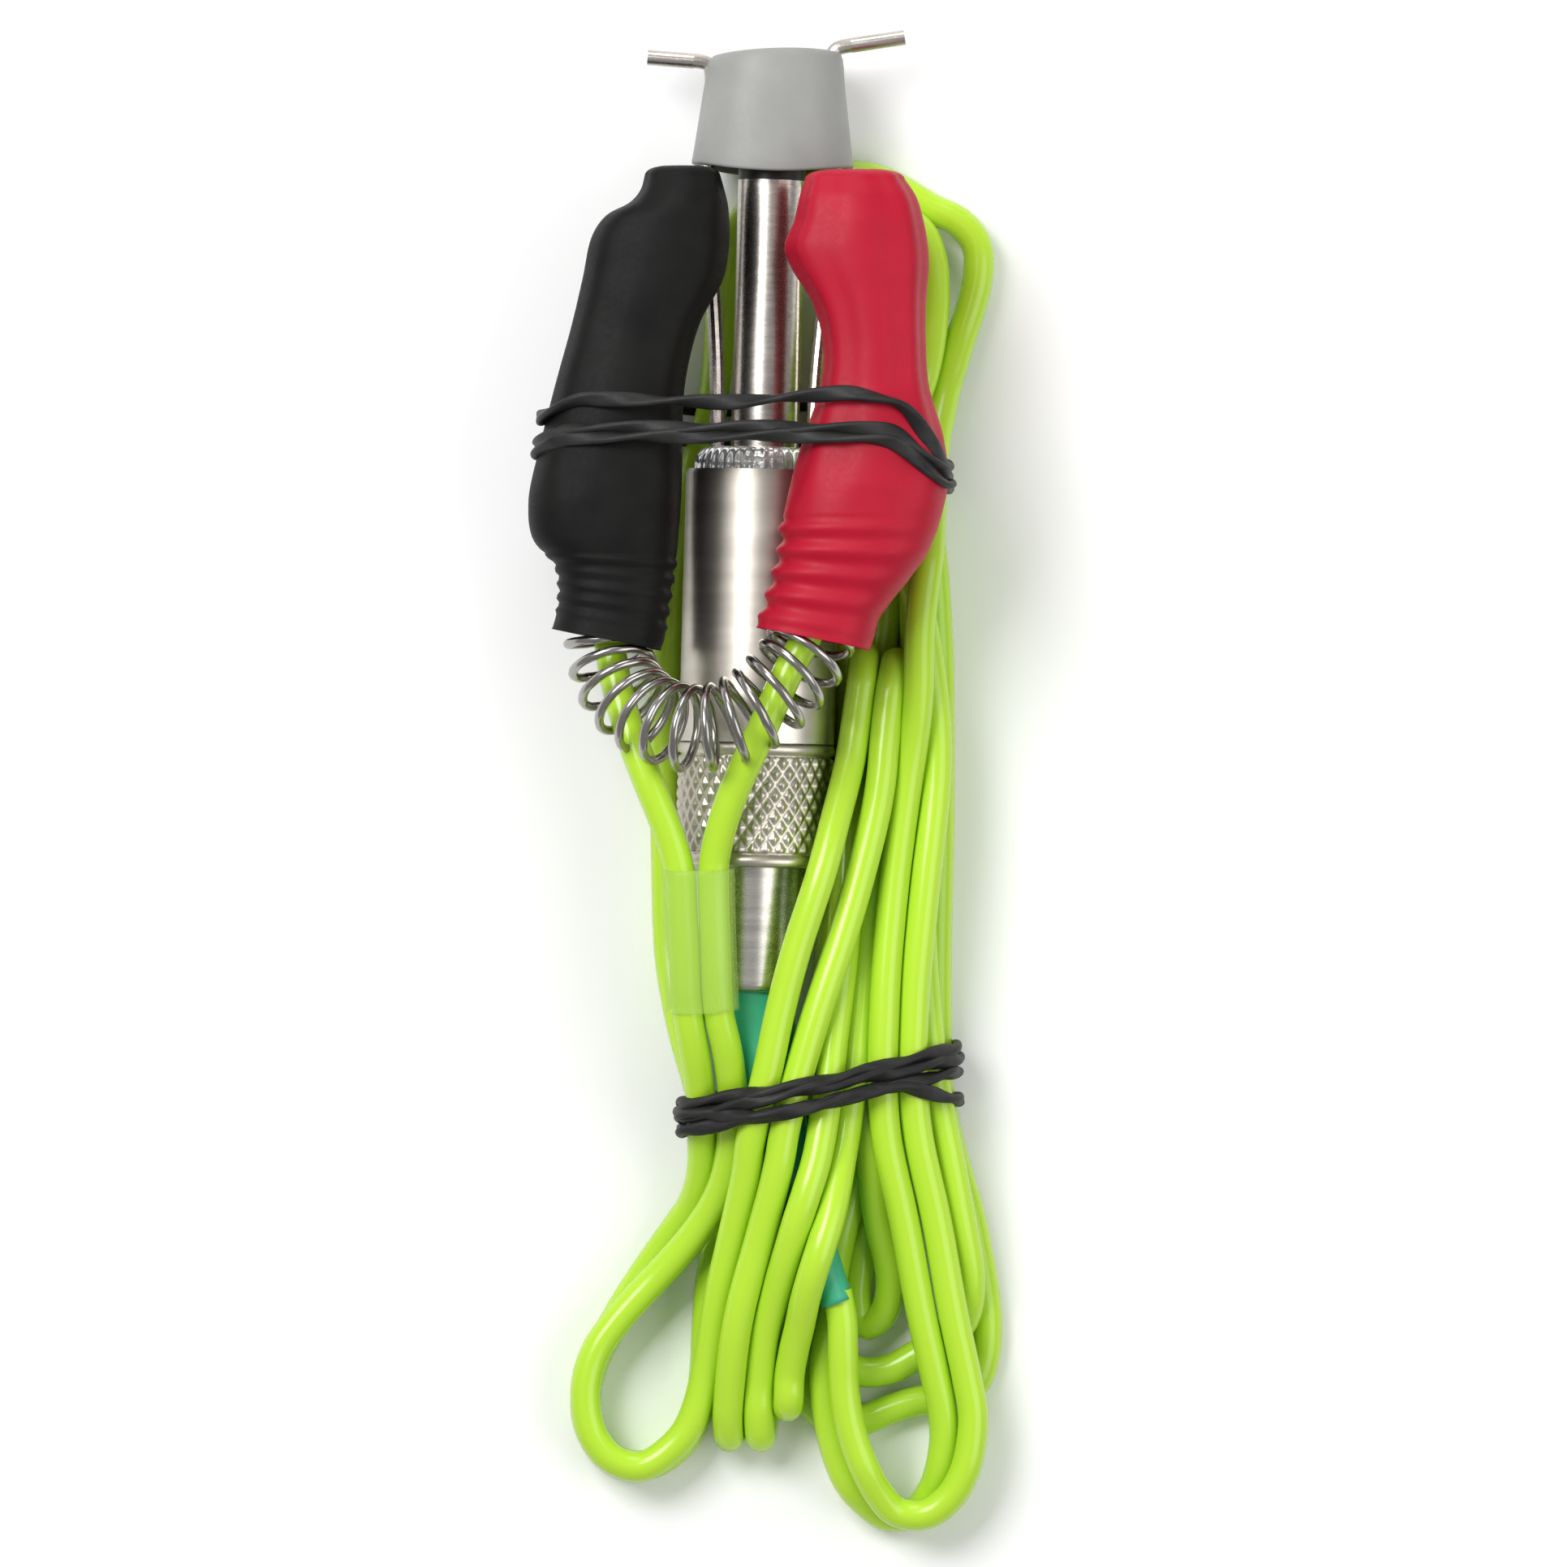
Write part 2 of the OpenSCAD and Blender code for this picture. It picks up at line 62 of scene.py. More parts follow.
# Each lead runs from inside its clip, down, through its folds and back to the strain relief.
RED_ROUTE = [
    (10.3, 11, 26.9), (9, 5, 27.1), (6, -1, 27.6), (2.4, -9, 27.4), (-0.4, -15, 25.8),
    (-2.6, -21, 23.8), (-3.6, -26, 22.3), (-3.5, -32, 21.6), (-3.3, -38, 20.8), (-3, -44.5, 19.4),
    (-2, -49, 17.8), (-1.1, -55, 14.6), (-1.2, -60, 12.6), (-1.9, -65.3, 10.6), (-4.4, -71.2, 8.4),
    (-7.6, -75.6, 7.2), (-11.1, -79.5, 6.4), (-15.3, -84, 6.2), (-18.8, -88.5, 6.2),
    (-20.3, -92.6, 6.2), (-20.5, -96, 6.2), (-19.7, -100, 6.2), (-17.2, -103.3, 6.2),
    (-13.5, -104.6, 6.2), (-9.4, -102.3, 6.2), (-6.7, -99, 6.6), (-4.8, -92.7, 7.6), (-3, -82, 10.2),
    (-1.4, -75, 12), (0.7, -65.4, 15.4), (1.2, -61, 16.8), (3.2, -53.2, 18), (5.1, -44.2, 18.8),
    (7.2, -36.3, 19.6), (10.3, -26.9, 20), (12.4, -19, 17.8), (14, -12.8, 15.6), (15.6, -3.2, 13.8),
    (16, 0, 13.2), (16.2, 1.7, 11.4), (16, 0.8, 9.4), (15.4, -3, 8.8), (14.7, -8, 8.8),
    (14.4, -18, 9.2), (14.2, -26, 10.6), (13.6, -34, 12.6), (12.8, -41, 14), (11.9, -48, 15),
    (11.2, -55, 15.6), (9.9, -64, 16.8), (8.2, -70, 17.2), (6.2, -76, 15.4), (3, -86.1, 11),
    (2.4, -93, 8.6), (2.3, -98.5, 7.4), (2.5, -101, 5.4), (2.7, -100.4, 3.2), (3, -97, 2.2),
    (3.6, -92, 2.2), (4.2, -84, 2.2), (6, -74, 2.2), (10.8, -63, 2.6), (13.5, -55, 3.9),
    (14.8, -46, 2.6), (15.7, -36, 2.1), (15.8, -10, 2.1), (15.8, 18, 2.1), (15, 34, 2.4), (12.8, 46, 3),
    (11.9, 53, 3.6), (13.4, 58, 4), (17, 59.8, 4), (21.4, 58.8, 4), (24.2, 56, 4), (25.1, 52, 4.2),
    (25, 46, 4.6), (23.8, 38.6, 6.4), (21.8, 31, 8.6), (21, 22, 9), (20, 10, 7.5), (18.6, 0, 6),
    (17.8, -10, 5.6), (17, -30, 5.8), (16, -45, 6.8), (15.6, -55, 7.8), (16.5, -61, 6.8),
    (17.6, -71.6, 5.6), (19.2, -77.9, 4.6), (19.4, -81.6, 3.8), (18.3, -85, 2.8), (16.4, -86.8, 2.4),
    (14.8, -85.2, 2.2), (14.6, -81, 2.2), (15.2, -76, 2.2), (17, -69, 2.2), (20, -61, 2.8),
    (21.5, -55, 3.9), (22.6, -46, 3), (23.6, -36, 2.1), (23.8, -20, 2.1), (23.8, 0, 2.1),
    (23.4, 20, 2.1), (21.8, 36, 3), (20.2, 42, 5), (18.6, 45, 7.4), (18.4, 41, 9.6), (19.6, 30, 10),
    (21.4, 14, 9.6), (22.6, -4, 8.8), (22.8, -20, 8.4), (23.6, -40, 8.8), (25.2, -55, 9.2),
    (26.6, -62, 8.8), (28.5, -71.6, 7.6), (30, -80, 5.4), (29.4, -85, 3.6), (27, -87.6, 2.6),
    (24.2, -89, 2.4), (21.2, -91, 2.2), (18, -92.2, 2.2), (14.4, -92, 2.2), (11.8, -90, 2.2),
    (11, -86, 2.2), (11.2, -80, 2.2), (13.4, -70, 2.6), (17.2, -62, 4.8), (19.5, -55, 7.6),
    (20.8, -44, 6.4), (21.6, -30, 5.6), (21.8, -10, 5.6), (21.6, 4, 5.8), (20.6, 18, 6.4),
    (18.8, 28, 8), (17.4, 32.6, 10.4), (18, 31, 12.8), (20, 24, 13.4), (22.4, 12, 12.4), (24, 2, 11.4),
    (24.9, -13.7, 10.6), (23.4, -29.5, 11.4), (22, -44, 12.2), (21.9, -53, 12.4), (22.8, -61, 12),
    (25.2, -71.6, 10.8), (27.5, -84.3, 9.4), (29.3, -92.6, 8.4), (30.1, -97, 8), (29.8, -101.4, 7.6),
    (28.8, -105.3, 7.2), (26.8, -108.6, 6.6), (24, -110.6, 6.2), (21, -110.8, 6.2), (18.6, -109, 6.8),
    (16.6, -105.8, 9), (15.1, -102.3, 9.8), (13.9, -98.4, 10.4), (13.2, -93, 11.2), (13.1, -87.6, 12.2),
    (12.8, -82.6, 12.6), (11.6, -79.2, 12.6)]
BLACK_ROUTE = [
    (-17.4, 11, 18.6), (-17.2, 5, 18.8), (-16.4, -1, 19.8), (-14.6, -8, 21.8), (-12, -15, 22.8),
    (-9.6, -21, 22.6), (-8, -26, 22), (-7.6, -32, 21.6), (-7.3, -38, 20.8), (-7, -44.5, 19.4),
    (-6.2, -49, 17.8), (-5.3, -55, 14.2), (-4.9, -60, 11), (-4.6, -66.3, 7), (-6.2, -70.4, 4.6),
    (-9.1, -74.2, 3), (-13.7, -80.7, 2.1), (-17.4, -86.8, 2.1), (-19.9, -91.9, 2.1),
    (-20.6, -96.3, 2.1), (-20, -99.7, 2.1), (-18.5, -102.3, 2.1), (-16.4, -104, 2.1),
    (-13.6, -104.6, 2.1), (-11.1, -104.1, 2.1), (-8.6, -102.4, 2.1), (-6.7, -100.2, 2.1),
    (-5, -94.7, 2.1), (-4.6, -88.4, 2.1), (-4.2, -82.1, 2.1), (-3, -76, 2.1), (1.5, -68.5, 2.1),
    (6.4, -61.5, 2.6), (9.5, -55, 3.9), (10.9, -46, 2.6), (11.7, -36, 2.1), (11.9, -10, 2.1),
    (11.8, 20, 2.1), (11.6, 34, 2.2), (12.8, 43, 2.6), (16, 48, 3), (19.6, 47, 3.6), (21.6, 42, 4),
    (22.2, 34, 4.8), (23.2, 22, 5.6), (24.6, 8, 5.9), (25.4, -10, 5.9), (25.2, -30, 5.5),
    (25.1, -45, 4.6), (25.5, -55, 3.9), (27.2, -63, 4.2), (29.8, -72, 4.2), (31.8, -84.3, 3),
    (31.8, -90, 2.3), (30, -94.4, 2.1), (27, -95.6, 2.1), (23.6, -95.8, 2.1), (19.6, -96.9, 2.1),
    (15.4, -98.6, 2.1), (11.6, -98.6, 2.1), (8.8, -96.6, 2.1), (7.6, -92.6, 2.1), (7.8, -84, 2.1),
    (9.8, -74, 2.2), (14.5, -63, 2.6), (17.5, -55, 3.9), (18.8, -46, 2.8), (19.7, -36, 2.1),
    (19.8, -10, 2.1), (19.6, 18, 2.1), (19, 29, 2.3), (17.4, 36.4, 3.2), (15.4, 38.6, 4.2),
    (13.8, 35.6, 5.2), (13.4, 26, 5.8), (13.9, 10, 5.8), (14, -10, 5.6), (13.6, -30, 6), (12.2, -45, 7),
    (11.4, -55, 7.8), (9.2, -66, 3.6), (6.6, -80, 4.6), (5.6, -92, 4.6), (5.4, -94.6, 4), (5.5, -97.2, 5.4),
    (5.6, -96.6, 7.6), (6, -91.5, 9), (7.4, -86.1, 12), (9.6, -77, 17.2),
    (11.4, -70.6, 16.6), (13.4, -61, 13), (14.7, -53.2, 12), (15.4, -45, 11.6), (16.8, -29.5, 10),
    (18.3, -13.7, 9), (19.9, -6, 8.8), (20.7, -1.6, 9), (21.1, 0.8, 10.4), (21.2, 0.8, 12.6),
    (20.8, -1.8, 13.8), (20.3, -5.3, 14), (19.2, -12.8, 14.4), (15.5, -26.9, 15.8), (12.7, -36.3, 17),
    (10, -44.2, 17.6), (7.3, -53.2, 17.6), (5.8, -59, 17.6), (4.7, -65.3, 17), (2.2, -75, 14.4),
    (-0.6, -86.1, 12.2), (-1.5, -94, 9.4), (-1.7, -98.4, 7.4), (-1.5, -100.8, 5.2), (-1.3, -99.8, 3),
    (-1.1, -96, 2.2), (-0.8, -90, 2.2), (-0.5, -80, 3), (-1.4, -71, 6.3), (-4, -63, 7.2),
    (-5.6, -55, 7.8), (-7.8, -47, 5), (-9.4, -38, 2.4), (-9.8, -28, 2.1), (-9.9, 0, 2.1),
    (-8.6, 16, 2.1), (-5.4, 26, 2.4), (-3.6, 33, 3), (-2.8, 42, 3.2), (-2.4, 52, 3.6), (0.2, 58.6, 3.8),
    (6, 61.6, 3.8), (12.4, 63.8, 4), (17.6, 63.4, 4), (22, 61, 4), (25.4, 59, 4), (28, 58.1, 4),
    (30.2, 56.3, 4), (31, 53.7, 4), (30.7, 49.5, 4), (29.1, 44.7, 4), (27.4, 40, 4.8),
    (25.4, 34.7, 5.8), (24, 29.5, 8.4), (23.5, 21, 12), (23, 13.7, 13.4), (22.6, 7.4, 13.8),
    (21.9, -3, 13.4), (21.3, -13.7, 13), (20, -29.5, 12.8), (18.8, -44, 12.8), (18.3, -53, 12.8),
    (18.7, -61, 12.6), (21, -71.6, 11.2), (23.4, -84.3, 9.4), (25.3, -92.6, 8), (26.6, -99, 6.8),
    (26.2, -104, 5.8), (24.6, -108.4, 3.4), (22.6, -110.7, 2.4), (20.5, -111.4, 2.1), (18, -110.7, 2.8),
    (16, -109, 4.4), (14.2, -107, 5.9), (12.6, -103.6, 6.4), (11.3, -98.4, 6.5), (10.6, -92, 6.9),
    (11.4, -86.4, 7.8), (12.2, -82.6, 8.4), (11.6, -79.2, 8.4)]
# The strain relief's centre line, as [x, y, z], with its half widths and half heights
RELIEF = [(1.2, -36.5, 10.5), (1.1, -40.5, 10.5), (1.8, -46, 10.5), (3.4, -54, 10.5), (6, -64, 10.5),
    (9.6, -75, 10.5), (12.4, -82.6, 10.5)]
RELIEF_WIDTH = [5.5, 5.5, 5.3, 4.7, 3.7, 2.9, 2.6]
RELIEF_HEIGHT = [5.5, 5.5, 5.4, 5, 4.7, 4.6, 4.6]
STUB_RISE = 2.1         # each lead's height above or below the strain relief's centre line


# ---- Camera, light and floor ----

def look_down():
    camera = bpy.data.cameras.new("camera")
    camera.sensor_width = 36
    camera.lens = 36 * (VIEW_DISTANCE - AXIS_Z) / VIEW_WIDTH
    camera.clip_end = 20
    holder = bpy.data.objects.new("camera", camera)
    holder.location = (5.5 * MM, -15.3 * MM, VIEW_DISTANCE * MM)
    bpy.context.scene.collection.objects.link(holder)
    bpy.context.scene.camera = holder


def lamp(name, place, aim, size, power):
    light = bpy.data.lights.new(name, "AREA")
    light.size = size
    light.energy = power
    holder = bpy.data.objects.new(name, light)
    holder.location = place
    holder.rotation_euler = (Vector(aim) - Vector(place)).to_track_quat("-Z", "Y").to_euler()
    bpy.context.scene.collection.objects.link(holder)


def light_studio():
    world = bpy.data.worlds.new("studio")
    world.use_nodes = True
    world.node_tree.nodes["Background"].inputs["Color"].default_value = (1, 1, 1, 1)
    world.node_tree.nodes["Background"].inputs["Strength"].default_value = 0.36
    bpy.context.scene.world = world
    bpy.context.scene.view_settings.view_transform = "Standard"
    lamp("key", (-0.35, 0.3, 0.7), (0, 0, 0), 0.4, 5.6)
    lamp("fill", (0.55, -0.1, 0.6), (0, 0, 0), 0.6, 2.4)
    lamp("strip", (0.02, 0.75, 0.35), (0, 0, 0), 0.35, 1.6)


# ---- Materials ----

def wire_up(tree, kind, **values):
    node = tree.nodes.new(kind)
    for name, value in values.items():
        if name in node.inputs:
            node.inputs[name].default_value = value
        else:
            setattr(node, name, value)
    return node


def finish(name, slot, dark, light, rough, grain=400.0, stretch=(1, 1, 1), bump=0.1, depth=0.05,
           rough_spread=0.12, contrast=(0.3, 0.7), **shader):
    """A surface whose colour, roughness and height all vary; dark and light are its two colours."""
    material = bpy.data.materials.new(name)
    material.use_nodes = True
    material["slot"] = slot
    tree = material.node_tree
    surface = tree.nodes["Principled BSDF"]
    for key, value in shader.items():
        surface.inputs[key.replace("_", " ")].default_value = value
    place = wire_up(tree, "ShaderNodeTexCoord")
    scale = wire_up(tree, "ShaderNodeMapping")
    scale.inputs["Scale"].default_value = stretch
    noise = wire_up(tree, "ShaderNodeTexNoise", Scale=grain, Detail=6.0, Roughness=0.6)
    broad = wire_up(tree, "ShaderNodeTexNoise", Scale=grain / 9, Detail=3.0)
    ramp = wire_up(tree, "ShaderNodeValToRGB")
    ramp.color_ramp.elements[0].position = contrast[0]
    ramp.color_ramp.elements[1].position = contrast[1]
    ramp.color_ramp.elements[0].color = (*dark, 1)
    ramp.color_ramp.elements[1].color = (*light, 1)
    gloss = wire_up(tree, "ShaderNodeMapRange")
    gloss.inputs["To Min"].default_value = max(rough - rough_spread, 0.02)
    gloss.inputs["To Max"].default_value = min(rough + rough_spread, 1)
    relief = wire_up(tree, "ShaderNodeBump", Strength=bump, Distance=depth * MM)
    link = tree.links.new
    link(place.outputs["Object"], scale.inputs["Vector"])
    link(scale.outputs["Vector"], noise.inputs["Vector"])
    link(scale.outputs["Vector"], broad.inputs["Vector"])
    link(broad.outputs["Fac"], ramp.inputs["Fac"])
    link(ramp.outputs["Color"], surface.inputs["Base Color"])
    link(noise.outputs["Fac"], gloss.inputs["Value"])
    link(gloss.outputs["Result"], surface.inputs["Roughness"])
    link(noise.outputs["Fac"], relief.inputs["Height"])
    link(relief.outputs["Normal"], surface.inputs["Normal"])
    return material


def make_materials():
    around = (1, 26, 26)        # brushed across the probe's axis
    return {
        "steel": finish("steel", "polished_steel", (0.48, 0.44, 0.4), (0.66, 0.61, 0.56), 0.27, 500,
                        (3, 30, 30), 0.06, 0.02, 0.05, Metallic=1.0),
        "wire": finish("wire", "polished_steel", (0.3, 0.285, 0.27), (0.5, 0.48, 0.46), 0.22, 300,
                       (1, 1, 1), 0.06, 0.02, 0.05, Metallic=1.0),
        "nickel": finish("nickel", "satin_nickel", (0.52, 0.48, 0.42), (0.66, 0.62, 0.55), 0.34, 110,
                         (4, 30, 4), 0.02, 0.01, 0.03, Metallic=1.0),
        "knurl": finish("knurl", "satin_nickel", (0.46, 0.43, 0.36), (0.66, 0.62, 0.52), 0.36, 900,
                        (1, 1, 1), 0.06, 0.02, 0.06, Metallic=1.0),
        "brushed": finish("brushed", "satin_nickel", (0.5, 0.48, 0.44), (0.7, 0.67, 0.62), 0.28, 260,
                          around, 0.3, 0.02, 0.08, Metallic=1.0),
        "brass": finish("brass", "brass", (0.5, 0.34, 0.12), (0.78, 0.58, 0.26), 0.28, 500,
                        Metallic=1.0),
        "clear": finish("clear", "clear_plastic", (0.8, 0.84, 0.84), (0.93, 0.95, 0.95), 0.12, 300,
                        bump=0.05, rough_spread=0.06, Transmission_Weight=0.85, IOR=1.49),
        "glass": finish("glass", "bulb_glass", (0.92, 0.92, 0.9), (1, 1, 0.98), 0.05, 300,
                        bump=0.02, rough_spread=0.02, Transmission_Weight=1.0, IOR=1.5),
        "ivory": finish("ivory", "insulator", (0.72, 0.68, 0.55), (0.82, 0.78, 0.66), 0.45, 500),
        "plastic": finish("plastic", "black_plastic", (0.012, 0.012, 0.013), (0.03, 0.03, 0.03), 0.4,
                          900, bump=0.15),
        "grey": finish("grey", "grey_vinyl", (0.255, 0.26, 0.245), (0.31, 0.315, 0.3), 0.52, 1500,
                       bump=0.14, depth=0.06, contrast=(0.2, 0.8), Subsurface_Weight=0.05,
                       Subsurface_Radius=(0.002, 0.002, 0.002)),
        "black_boot": finish("black_boot", "black_vinyl", (0.0045, 0.005, 0.0045),
                             (0.009, 0.0095, 0.0085), 0.55, 1600, bump=0.16, depth=0.05,
                             Specular_IOR_Level=0.12),
        "red_boot": finish("red_boot", "red_vinyl", (0.37, 0.0035, 0.02), (0.44, 0.005, 0.026), 0.5,
                           1600, bump=0.14, depth=0.05, contrast=(0.2, 0.8), Specular_IOR_Level=0.22),
        "teal": finish("teal", "teal_shrink", (0.03, 0.36, 0.2), (0.06, 0.52, 0.3), 0.4, 700,
                       bump=0.22, depth=0.1),
        "lime": finish("lime", "lime_silicone", (0.42, 0.69, 0.03), (0.48, 0.75, 0.04), 0.22, 150,
                       bump=0.01, depth=0.03, rough_spread=0.03, contrast=(0.15, 0.85),
                       Specular_IOR_Level=0.5),
        "sleeve": finish("sleeve", "clear_sleeve", (0.5, 0.74, 0.12), (0.6, 0.82, 0.18), 0.24, 300,
                         bump=0.04, depth=0.05, Alpha=0.24),
        "rubber": finish("rubber", "black_rubber", (0.012, 0.012, 0.012), (0.032, 0.032, 0.031), 0.5,
                         1300, (1, 3, 3), 0.3, 0.06, Specular_IOR_Level=0.22),
    }


# ---- Points and meshes ----

def resample(curve, step):
    length = np.concatenate([[0], np.cumsum(np.linalg.norm(np.diff(curve, axis=0), axis=1))])
    wanted = np.linspace(0, length[-1], int(round(length[-1] / step)) + 1)
    return np.stack([np.interp(wanted, length, curve[:, k]) for k in range(3)], 1)


def smooth(points, step):
    """An even, centripetal Catmull-Rom curve through the points."""
    p = np.array(points, float)
    p = np.vstack([2 * p[0] - p[1], p, 2 * p[-1] - p[-2]])
    out = []
    for corner in zip(p, p[1:], p[2:], p[3:]):
        knots = [0.0]
        for u, v in zip(corner, corner[1:]):
            knots.append(knots[-1] + max(np.linalg.norm(v - u), 1e-6) ** 0.5)
        for t in np.linspace(knots[1], knots[2], 12, endpoint=False):
            row = list(corner)
            for low, high in ((0, 1), (0, 2), (1, 2)):
                row = [((k1 - t) * a + (t - k0) * b) / (k1 - k0)
                       for a, b, k0, k1 in zip(row, row[1:], knots[low:], knots[high:])]
            out.append(row[0])
    out.append(p[-2])
    return resample(np.array(out), step)


def on_probe(across, along, up):
    """A point given across, along and above the probe's axis, in the part's frame."""
    return (AXIS_X + across * math.cos(LEAN) + along * math.sin(LEAN),
            along * math.cos(LEAN) - across * math.sin(LEAN), AXIS_Z + up)


def new_mesh(name, points, faces, material, shade_smooth=True):
    mesh = bpy.data.meshes.new(name)
    mesh.from_pydata([tuple(np.array(p) * MM) for p in points], [], faces)
    mesh.validate()
    mesh.polygons.foreach_set("use_smooth", [shade_smooth] * len(mesh.polygons))
    mesh.materials.append(material)
    piece = bpy.data.objects.new(name, mesh)
    bpy.context.scene.collection.objects.link(piece)
    return piece


def loft(name, rings, material, closed=False):
    """A skin over rings of points; closed joins the last ring to the first."""
    sides = len(rings[0])
    spans = len(rings) if closed else len(rings) - 1
    faces = [(i * sides + k, i * sides + (k + 1) % sides,
              ((i + 1) % len(rings)) * sides + (k + 1) % sides, ((i + 1) % len(rings)) * sides + k)
             for i in range(spans) for k in range(sides)]
    return new_mesh(name, [p for ring in rings for p in ring], faces, material)


def frames(path, closed=False):
    """The direction at each point of a path."""
    ahead = np.roll(path, -1, 0) - np.roll(path, 1, 0)
    if not closed:
        ahead[0] = path[1] - path[0]
        ahead[-1] = path[-1] - path[-2]
    ahead /= np.linalg.norm(ahead, axis=1)[:, None]
    return ahead


def superellipse(x0, x1, middle, half, power, sides=64):
    points = []
    for k in range(sides):
        a = 2 * math.pi * k / sides
        c, s = math.cos(a), math.sin(a)
        points.append(((x0 + x1) / 2 + (x1 - x0) / 2 * math.copysign(abs(c) ** (2 / power), c),
                       middle + half * math.copysign(abs(s) ** (2 / power), s)))
    return points


def paint(material, *nodes):
    """Gives CAD nodes a material in place of the plain one that they came with."""
    for node in nodes:
        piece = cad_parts[node]
        piece.data.materials.clear()
        piece.data.materials.append(material)


# ---- Leads ----

def neighbours(points, others, reach, skip=None):
    hit = np.linalg.norm(points[:, None] - others[None], axis=2) < reach
    if skip is not None:
        hit &= ~skip
    return np.nonzero(hit)


def settle(routes, rounds=220, step=2.0, gap=2 * LEAD_R + 0.04):
    """Lays the leads: touching stretches push apart, and none goes into the floor or the probe."""
    paths = [smooth(route, step) for route in routes]
    cut = len(paths[0])
    p = np.vstack(paths)
    home = p.copy()
    n = len(p)
    owner = np.repeat([0, 1], [cut, n - cut])
    place = np.concatenate([np.arange(cut), np.arange(n - cut)])
    beside = (owner[:, None] == owner[None]) & (np.abs(place[:, None] - place[None]) < 5)
    stub = smooth(RELIEF, 2.0)
    stub = np.vstack([stub + (0, 0, STUB_RISE), stub - (0, 0, STUB_RISE)])
    last = np.where(owner == 0, cut, n - cut) - 7
    held = (place < 17) | (place > last)
    for count in range(rounds):
        if count % 12 == 0:
            i, j = neighbours(p, p, gap + 1.6, beside)
            si, sj = neighbours(p, stub, 6.2)
        move = np.zeros_like(p)
        for who, apart, wanted, share, level in ((i, p[i] - p[j], gap, 0.4, 0.7),
                                                 (si, p[si] - stub[sj], 4.65, 0.6, 1.0)):
            distance = np.linalg.norm(apart, axis=1) + 1e-9
            lack = np.clip(wanted - distance, 0, None) / distance
            crowd = np.maximum(np.bincount(who, lack > 0, n), 1)
            crowd = crowd if level == 1.0 else crowd ** 0.5
            for k in range(3):
                pushed = np.bincount(who, lack * apart[:, k], n) / crowd
                move[:, k] += share * pushed * (level if k < 2 else 1)
        along = p[:, 1]
        radius = np.select([along > 64.5, along > 29, along > -30.4, along > -43],
                           [0, 6.6, 12.3, 9.0], 0)
        offset = np.stack([p[:, 0] - AXIS_X - along * math.sin(LEAN), p[:, 2] - AXIS_Z], 1)
        away = np.linalg.norm(offset, axis=1) + 1e-9
        move[:, [0, 2]] += 0.7 * offset * (np.clip(radius - away, 0, None) / away)[:, None]
        strain = p - 0.9 * home
        bend = np.zeros_like(p)
        bend[1:-1] = (strain[:-2] + strain[2:]) / 2 - strain[1:-1]
        bend[[0, cut - 1, cut, n - 1]] = 0
        pull = (0.02, 0.02, 0) if count > rounds - 30 else (0.06, 0.06, 0.01)
        move += 0.5 * bend + (home - p) * pull
        move[held] = 0
        p = p + move
        p[:, 2] = np.maximum(p[:, 2], LEAD_R)
    return p[:cut], p[cut:]


def bevelled_curve(name, path, radius, material, sides=5):
    curve = bpy.data.curves.new(name, "CURVE")
    curve.dimensions = "3D"
    curve.bevel_depth = radius * MM
    curve.bevel_resolution = sides
    curve.use_fill_caps = True
    spline = curve.splines.new("POLY")
    spline.points.add(len(path) - 1)
    spline.points.foreach_set("co", np.hstack([path * MM, np.ones((len(path), 1))]).ravel())
    spline.use_smooth = True
    curve.materials.append(material)
    piece = bpy.data.objects.new(name, curve)
    bpy.context.scene.collection.objects.link(piece)
    return piece


def make_leads(materials):
    laid = settle([RED_ROUTE, BLACK_ROUTE])
    fine = []
    covers = {"red": ("lead_red", "hank_right", "hank_front"),
              "black": ("lead_black", "hank_left", "hank_loops")}
    for name, path, rise in (("red", laid[0], STUB_RISE), ("black", laid[1], -STUB_RISE)):
        path = smooth(path[::2], 0.9)
        piece = bevelled_curve("lead_" + name + "_cable", path, LEAD_R, materials["lime"])
        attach(piece, "root")
        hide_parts(*covers[name])
        fine.append(path)
    return fine


# ---- Probe ----

def ring_of(radius, along, sides=96, ripple=None):
    points = []
    for k in range(sides):
        a = 2 * math.pi * k / sides
        r = radius + (ripple(a) if ripple else 0)
        points.append(on_probe(r * math.cos(a), along, r * math.sin(a)))
    return points


def knurl_height(angle, along):
    """Pyramids where two families of helical grooves cross, from 0 in a groove to 1 on a point."""
    u, v = 34 * angle / (2 * math.pi), along / 2.8
    first, second = (abs(2 * (w % 1) - 1) for w in (u + v, u - v))
    return min(first, second)


def make_nut(materials):
    back, front, depth = -26.1, -10.1, 0.55
    profile = [(9.4, front), (NUT_R - 0.3, front), (NUT_R - 0.05, front - 0.25), (NUT_R, front - 0.6),
               (NUT_R, front - 1.3), (NUT_R - 0.5, front - 1.5), (NUT_R - 0.5, front - 1.7)]
    rings = [ring_of(r, y, 272) for r, y in profile]
    start, end = front - 1.8, back + 1.9
    for row in range(67):
        y = start + (end - start) * row / 66
        rings.append(ring_of(NUT_R, y, 272, lambda a, y=y: depth * (min(knurl_height(a, y), 0.8) - 0.85)))
    profile = [(NUT_R - 0.5, back + 1.8), (NUT_R - 0.5, back + 1.6), (NUT_R, back + 1.4),
               (NUT_R, back + 0.7), (NUT_R - 0.1, back + 0.25), (NUT_R - 0.45, back), (7.1, back),
               (7.1, back + 2.9), (9.3, back + 3), (9.3, front)]
    rings += [ring_of(r, y, 272) for r, y in profile]
    nut = loft("knurled_nut_skin", rings, materials["knurl"], closed=True)
    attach(nut, "nut")
    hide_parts("knurled_nut")


